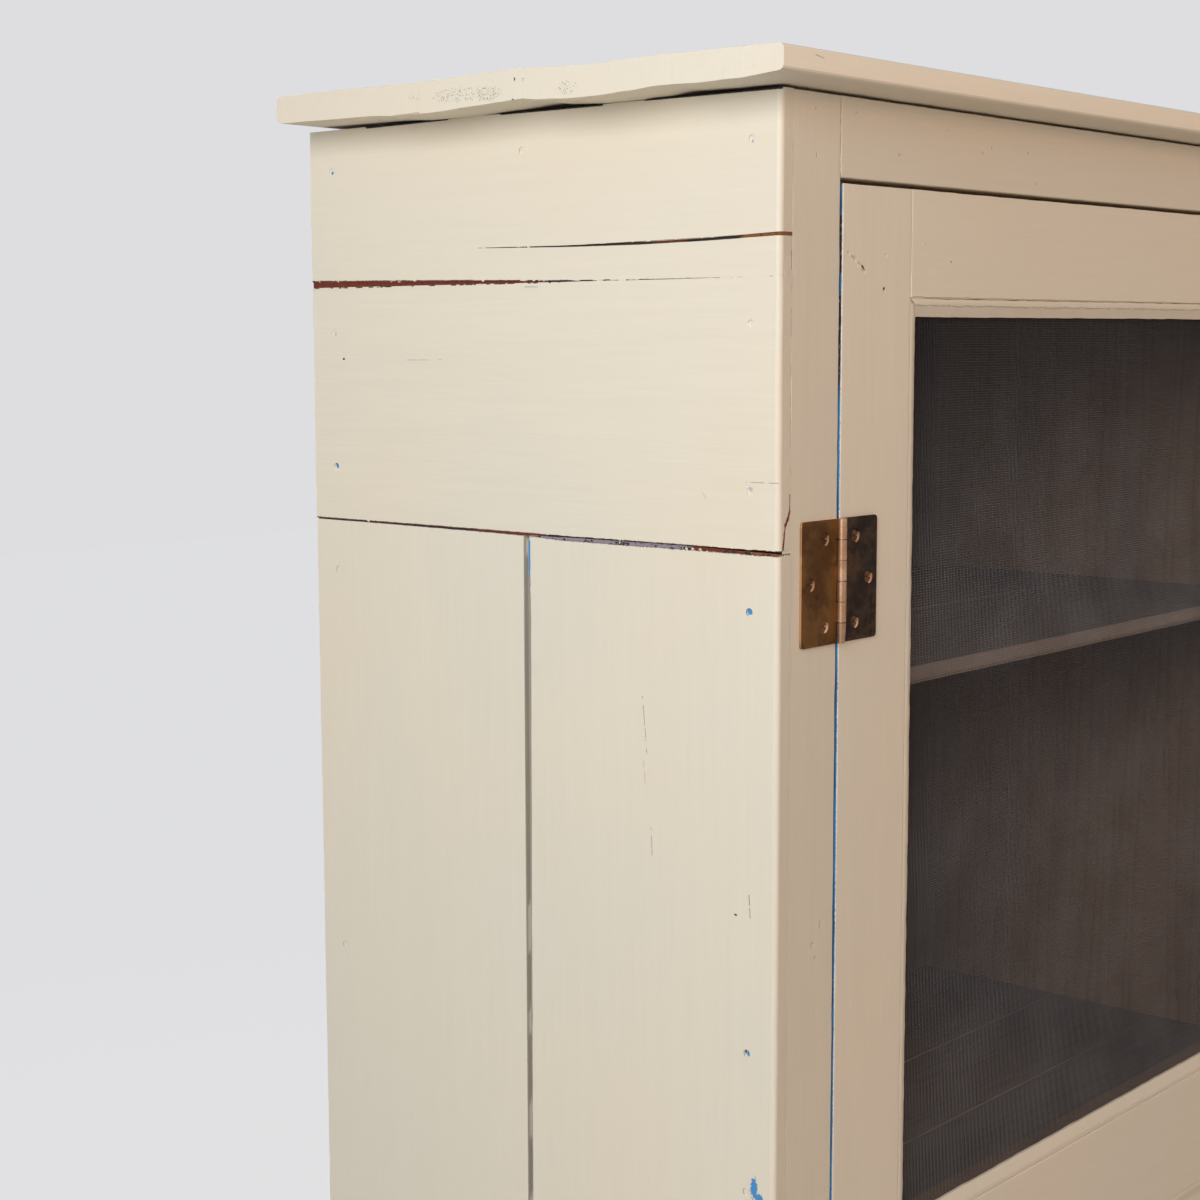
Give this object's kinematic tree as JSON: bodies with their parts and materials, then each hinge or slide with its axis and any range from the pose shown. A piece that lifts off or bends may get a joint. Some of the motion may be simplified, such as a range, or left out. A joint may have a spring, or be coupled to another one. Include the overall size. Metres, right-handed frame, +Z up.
{
  "type": "screened cupboard",
  "caption": "Tall narrow painted wooden cupboard with boarded sides, shelves and one hinged door, wire screen above and panel below, on short feet.",
  "frame": {"origin": "on the floor, under the middle of the outline", "axes": "+X to the right as seen from the front, +Y to the back so that the door faces -Y, +Z up"},
  "size_m": [0.838, 0.435, 1.6607],
  "materials": {
    "cream_paint": "brushed satin paint over old blue paint, worn at edges and nails",
    "inside_wood": "bare aged softwood, matt",
    "knob_wood": "turned hardwood, worn oil finish",
    "aged_brass": "aged brass with dark patches",
    "screen_wire": "dark oxidised wire",
    "nail_iron": "punched nail heads under thin paint"
  },
  "bodies": {
    "case": {"top_plank_front": "cream_paint", "top_plank_rear": "cream_paint", "left_upper_board": "cream_paint", "left_middle_board": "cream_paint", "left_front_plank": "cream_paint", "left_rear_plank": "cream_paint", "right_front_plank": "cream_paint", "right_centre_plank": "cream_paint", "right_rear_plank": "cream_paint", "front_post_left": "cream_paint", "front_post_right": "cream_paint", "rear_post_left": "inside_wood", "rear_post_right": "inside_wood", "front_top_rail": "cream_paint", "front_bottom_rail": "cream_paint", "rear_top_rail": "inside_wood", "rear_bottom_rail": "inside_wood", "back_plank_1": "inside_wood", "back_plank_2": "inside_wood", "back_plank_3": "inside_wood", "back_plank_4": "inside_wood", "top_cleats": "inside_wood", "upper_shelf_front_board": "inside_wood", "upper_shelf_rear_board": "inside_wood", "middle_shelf_front_board": "inside_wood", "middle_shelf_centre_board": "inside_wood", "middle_shelf_rear_board": "inside_wood", "lower_shelf_front_board": "inside_wood", "lower_shelf_rear_board": "inside_wood", "floor_front_board": "inside_wood", "floor_rear_board": "inside_wood", "door_stop": "inside_wood", "side_nails": "nail_iron", "upper_hinge_frame_leaf": "aged_brass", "lower_hinge_frame_leaf": "aged_brass", "hinge_pins": "aged_brass", "frame_hinge_screws": "aged_brass", "turn_button_screw": "aged_brass", "top_plank_middle": "cream_paint", "shelf_cleats": "inside_wood"},
    "door": {"door_hinge_stile": "cream_paint", "door_lock_stile": "cream_paint", "door_top_rail": "cream_paint", "door_middle_rail": "cream_paint", "door_bottom_rail": "cream_paint", "door_panel": "cream_paint", "wire_screen": "screen_wire", "screen_moulding_top": "cream_paint", "screen_moulding_bottom": "cream_paint", "screen_moulding_left": "cream_paint", "screen_moulding_right": "cream_paint", "panel_mouldings": "cream_paint", "rear_beads": "inside_wood", "upper_hinge_door_leaf": "aged_brass", "lower_hinge_door_leaf": "aged_brass", "door_hinge_screws": "aged_brass", "knob": "knob_wood"},
    "turn_button": {"turn_button": "cream_paint"}
  },
  "joints": [
    {"name": "door_swing", "type": "hinge", "parent": "case", "child": "door", "pos_m": [-0.3211, -0.1914, 0.864], "axis": [0, 0, -1], "range_deg": [0, 170]},
    {"name": "button_turn", "type": "hinge", "parent": "case", "child": "turn_button", "pos_m": [0.3365, -0.1934, 0.9366], "axis": [0, -1, 0], "continuous": true}
  ]
}
